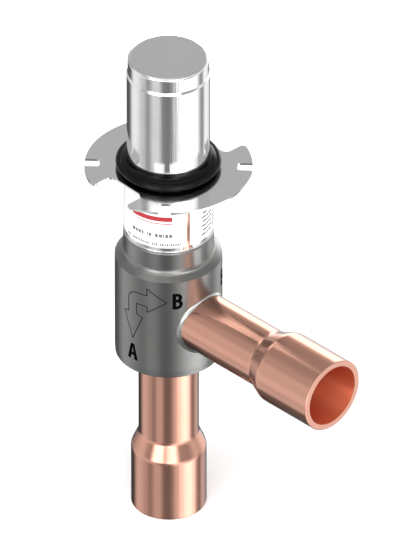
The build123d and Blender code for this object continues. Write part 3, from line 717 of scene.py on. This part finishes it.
ferrite = dull_solid(
    "ferrite", (0.035, 0.034, 0.036), (0.07, 0.07, 0.075), 0.45, grain_scale=2500.0, depth=8e-6
)
fluoropolymer = dull_solid(
    "fluoropolymer", (0.78, 0.77, 0.74), (0.84, 0.83, 0.81), 0.42, grain_scale=900.0, depth=4e-6
)
for material, nodes in (
    (hard_steel, ("seat_ring", "guide_sleeve", "piston", "guide_key", "nut_pin", "spindle")),
    (hard_steel, ("spindle_circlip", "bearing_outer_race", "bearing_inner_race")),
    (hard_steel, ("bearing_balls", "bearing_cage", "rotor_pin")),
    (bronze, ("drive_nut", "top_bush")),
    (polished_steel, ("bearing_lock_ring", "top_guide")),
    (fluoropolymer, ("piston_seal", "piston_face")),
    (soft_copper, ("seat_gasket",)),
    (ferrite, ("rotor_magnet",)),
):
    for node in nodes:
        wear(node, material)


# Studio floor: a plain pale sheet under port A's mouth, six metres wide. It is left out of the
# metals' mirrors, which have the studio's own dark foot instead.
floor_half = 3.0
floor_corners = floor_half * np.array([(-1, -1, 0), (1, -1, 0), (1, 1, 0), (-1, 1, 0)])
floor_mesh = bpy.data.meshes.new("floor")
floor_mesh.from_pydata(floor_corners, [], [(0, 1, 2, 3)])
floor_mesh.materials.append(finish("pale floor", 0.0, 0.9, (0.96, 0.96, 0.96))[0])
floor = bpy.data.objects.new("floor", floor_mesh)
bpy.context.scene.collection.objects.link(floor)
floor.visible_glossy = False


# Studio light: soft panels all round, as rings of brightness one above another, dark below. Turns
# are counted from the camera, towards its right; levels are how bright a panel is there.
camera_turn = radians(-45)
foot_level, crown_level, top_level = 0.2, 0.6, 3.5
world = bpy.data.worlds.new("studio")
bpy.context.scene.world = world
world.use_nodes = True
sky = world.node_tree
background = sky.nodes["Background"]
looking = put(sky, "ShaderNodeTexCoord", {}).outputs["Generated"]
parts = put(sky, "ShaderNodeSeparateXYZ", {0: looking}).outputs
turned = reckon(sky, "ARCTAN2", parts[1], parts[0])
from_camera = reckon(sky, "SUBTRACT", turned, camera_turn)
turns = reckon(sky, "FRACT", reckon(sky, "DIVIDE", from_camera, 2 * np.pi))
rise = reckon(sky, "ARCSINE", parts[2])


def panel_ring(panels):
    """Brightness round a ring of the studio, eased between panels of (turn in degrees, level)."""
    ramp = put(sky, "ShaderNodeValToRGB", {"Fac": turns})
    ramp.color_ramp.interpolation = "EASE"
    stops = ramp.color_ramp.elements
    stops[0].position, stops[1].position = 0.0, 1.0
    stops[0].color = (panels[0][1] / top_level,) * 3 + (1,)
    stops[1].color = stops[0].color
    for turn, level in panels[1:]:
        stops.new(turn / 360).color = (level / top_level,) * 3 + (1,)
    return reckon(sky, "MULTIPLY", ramp.outputs["Color"], top_level)


def above(height, soft_edge):
    """A mask that rises from 0 to 1 round that height in degrees, over a soft edge each way."""
    low, high = radians(height - soft_edge), radians(height + soft_edge)
    feeds = {"Value": rise, "From Min": low, "From Max": high}
    return put(sky, "ShaderNodeMapRange", feeds, interpolation_type="SMOOTHSTEP").outputs[0]


low_ring = panel_ring(
    [
        (0, 0.19), (14, 0.38), (21, 0.78), (28, 0.8), (34, 1.4), (60, 2.4), (72, 2.4), (88, 1.3),
        (98, 0.5), (106, 0.24), (126, 1.0), (144, 0.85), (166, 0.1), (222, 0.1), (248, 0.86),
        (258, 0.86), (286, 0.55), (301, 0.3), (320, 0.68), (331, 0.68), (347, 0.22),
    ]
)
knee_ring = panel_ring(
    [
        (0, 0.3), (20, 1.5), (40, 1.4), (60, 1.0), (80, 0.95), (100, 0.53), (120, 1.18), (140, 1.6),
        (160, 1.5), (200, 0.3), (220, 0.55), (260, 0.9), (300, 0.8), (320, 0.7), (340, 0.22),
    ]
)
sides_and_back = [
    (36, 0.4), (62, 0.4), (85, 0.8), (135, 0.8), (162, 3.2), (183, 3.2), (200, 0.6), (215, 0.5),
    (232, 0.3), (246, 0.35), (262, 0.8), (275, 0.8), (296, 0.44), (303, 0.44), (320, 3.0),
]
eye_ring = panel_ring(
    [(0, 3.0), (14, 3.0), *sides_and_back, (339, 3.0), (347, 1.4), (351, 1.4), (359, 3.0)]
)
brow_ring = panel_ring([(0, 0.5), (5, 0.5), (13, 3.0), *sides_and_back, (337, 3.0), (346, 0.5)])
upper_ring = panel_ring(
    [
        (0, 1.2), (13, 1.2), (24, 3.3), (44, 3.3), (62, 1.2), (75, 1.2), (95, 0.43), (180, 0.43),
        (265, 0.5), (273, 0.6), (284, 0.35), (296, 0.35), (312, 1.2), (344, 1.2), (349, 0.7),
        (353, 0.7), (357, 1.2),
    ]
)
high_ring = panel_ring([(0, 1.1), (12, 1.1), (40, 0.4), (270, 0.4), (290, 1.1)])
level = foot_level
for ring, mask in (
    (low_ring, above(-46, 3)),
    (knee_ring, above(-26, 3)),
    (eye_ring, above(-6.5, 3)),
    (brow_ring, above(12, 2)),
    (upper_ring, above(24, 4)),
    (high_ring, above(42, 3)),
    (crown_level, above(66, 8)),
):
    kept = reckon(sky, "MULTIPLY", reckon(sky, "SUBTRACT", 1.0, mask), level)
    level = reckon(sky, "ADD", kept, reckon(sky, "MULTIPLY", mask, ring))
sky.links.new(level, background.inputs["Color"])

# What shows past the floor is plain white: the rings are seen only in the metals' mirrors
plain = put(sky, "ShaderNodeBackground", {"Color": (1, 1, 1, 1), "Strength": 1.0})
camera_ray = put(sky, "ShaderNodeLightPath", {}).outputs["Is Camera Ray"]
feeds = {0: camera_ray, 1: background.outputs[0], 2: plain.outputs[0]}
both = put(sky, "ShaderNodeMixShader", feeds)
sky.links.new(both.outputs[0], sky.nodes["World Output"].inputs["Surface"])

# Two large soft lamps, out of the metals' mirrors: one high in front brightens the floor and what
# is matt, and a lower one on the right reaches into port B's mouth
for name, size, watts, spot in (
    ("high lamp", 2.6, 60.0, (0.6, -1.1, 2.2)),
    ("side lamp", 1.2, 16.0, (1.7, -0.75, 0.85)),
):
    lamp_data = bpy.data.lights.new(name, "AREA")
    lamp_data.shape = "SQUARE"
    lamp_data.size = size
    lamp_data.energy = watts
    lamp = bpy.data.objects.new(name, lamp_data)
    lamp.location = spot
    lamp.rotation_mode = "QUATERNION"
    lamp.rotation_quaternion = lamp.location.to_track_quat("Z", "Y")
    lamp.visible_glossy = False
    bpy.context.scene.collection.objects.link(lamp)


# Camera: far off with a long lens, so that lines stay parallel. It looks down the corner of a
# cube between -Y and +X, aimed so that the valve stands in the frame as in the photograph.
rise_angle = asin(1 / sqrt(3))
back = np.array([cos(rise_angle) / sqrt(2), -cos(rise_angle) / sqrt(2), sin(rise_angle)])
aim = np.array([-0.00847, 0.02394, 0.07882])
distance = 6.46
camera_data = bpy.data.cameras.new("camera")
camera_data.lens = 1200
camera_data.sensor_width = 36
camera = bpy.data.objects.new("camera", camera_data)
camera.location = aim + distance * back
camera.rotation_mode = "QUATERNION"
camera.rotation_quaternion = (camera.location - Vector(aim)).to_track_quat("Z", "Y")
bpy.context.scene.collection.objects.link(camera)
bpy.context.scene.camera = camera
bpy.context.scene.view_settings.view_transform = "Standard"
